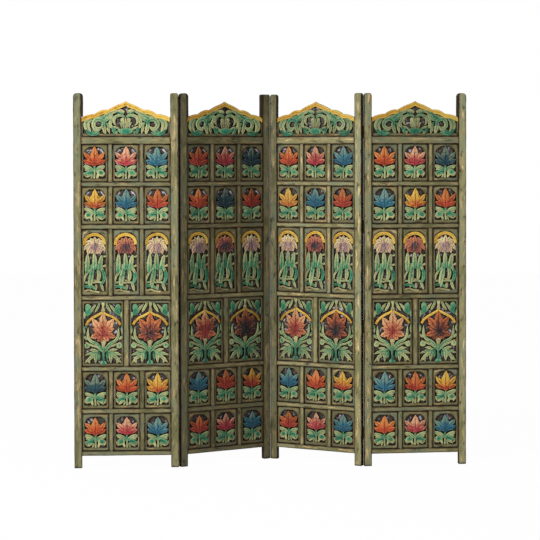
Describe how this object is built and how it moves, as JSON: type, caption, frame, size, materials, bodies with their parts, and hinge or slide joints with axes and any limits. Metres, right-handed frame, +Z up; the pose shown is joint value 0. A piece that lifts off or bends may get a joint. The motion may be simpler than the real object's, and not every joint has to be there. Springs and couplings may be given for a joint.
{
  "type": "folding screen",
  "caption": "Free-standing folding screen of hinged wooden panels with carved and painted jali frets of flowers and leaves in mortised frames, under cusped carved crests.",
  "frame": {"origin": "on the floor under the middle of the screen's bounding box", "axes": "+Z up, +X along the screen from its left panel to its right as seen from the carved side, -Y towards the carved side"},
  "size_m": [1.923, 0.3264, 1.83],
  "materials": {
    "frame_paint": "distressed sage green paint over wood, worn to brown at the edges",
    "carved_paint": "carved wood hand painted teal, cream, yellow, red, orange, pink and blue, with worn edges",
    "board": "dark stained thin board",
    "hinge_metal": "steel butt hinge, dulled and overpainted",
    "screw_metal": "dull slotted steel screw"
  },
  "bodies": {
    "panel_1": {"panel_1_left_stile": "frame_paint", "panel_1_right_stile": "frame_paint", "panel_1_cross_rails": "frame_paint", "panel_1_bottom_rail": "frame_paint", "panel_1_top_rail": "frame_paint", "panel_1_muntins": "frame_paint", "panel_1_back_boards": "board", "panel_1_lotus_frets": "carved_paint", "panel_1_iris_frets": "carved_paint", "panel_1_blossom_frets": "carved_paint", "panel_1_crest": "carved_paint", "hinges_1_left_leaves": "hinge_metal", "hinges_1_pins": "hinge_metal", "hinges_1_left_screws": "screw_metal"},
    "panel_2": {"panel_2_left_stile": "frame_paint", "panel_2_right_stile": "frame_paint", "panel_2_cross_rails": "frame_paint", "panel_2_bottom_rail": "frame_paint", "panel_2_top_rail": "frame_paint", "panel_2_muntins": "frame_paint", "panel_2_back_boards": "board", "panel_2_lotus_frets": "carved_paint", "panel_2_iris_frets": "carved_paint", "panel_2_blossom_frets": "carved_paint", "panel_2_crest": "carved_paint", "hinges_1_right_leaves": "hinge_metal", "hinges_1_right_screws": "screw_metal", "hinges_2_left_leaves": "hinge_metal", "hinges_2_pins": "hinge_metal", "hinges_2_left_screws": "screw_metal"},
    "panel_3": {"panel_3_left_stile": "frame_paint", "panel_3_right_stile": "frame_paint", "panel_3_cross_rails": "frame_paint", "panel_3_bottom_rail": "frame_paint", "panel_3_top_rail": "frame_paint", "panel_3_muntins": "frame_paint", "panel_3_back_boards": "board", "panel_3_lotus_frets": "carved_paint", "panel_3_iris_frets": "carved_paint", "panel_3_blossom_frets": "carved_paint", "panel_3_crest": "carved_paint", "hinges_2_right_leaves": "hinge_metal", "hinges_2_right_screws": "screw_metal", "hinges_3_left_leaves": "hinge_metal", "hinges_3_pins": "hinge_metal", "hinges_3_left_screws": "screw_metal"},
    "panel_4": {"panel_4_left_stile": "frame_paint", "panel_4_right_stile": "frame_paint", "panel_4_cross_rails": "frame_paint", "panel_4_bottom_rail": "frame_paint", "panel_4_top_rail": "frame_paint", "panel_4_muntins": "frame_paint", "panel_4_back_boards": "board", "panel_4_lotus_frets": "carved_paint", "panel_4_iris_frets": "carved_paint", "panel_4_blossom_frets": "carved_paint", "panel_4_crest": "carved_paint", "hinges_3_right_leaves": "hinge_metal", "hinges_3_right_screws": "screw_metal"}
  },
  "joints": [
    {"name": "fold_1", "type": "hinge", "parent": "panel_2", "child": "panel_1", "pos_m": [-0.45254, -0.10628, 0.9], "axis": [0, 0, 1], "range_deg": [-152, 28]},
    {"name": "fold_2", "type": "hinge", "parent": "panel_2", "child": "panel_3", "pos_m": [-0.00701, 0.14419, 0.9], "axis": [0, 0, 1], "range_deg": [-119.8, 60.2]},
    {"name": "fold_3", "type": "hinge", "parent": "panel_3", "child": "panel_4", "pos_m": [0.45337, -0.07781, 0.9], "axis": [0, 0, 1], "range_deg": [-36.4, 143.6]}
  ]
}
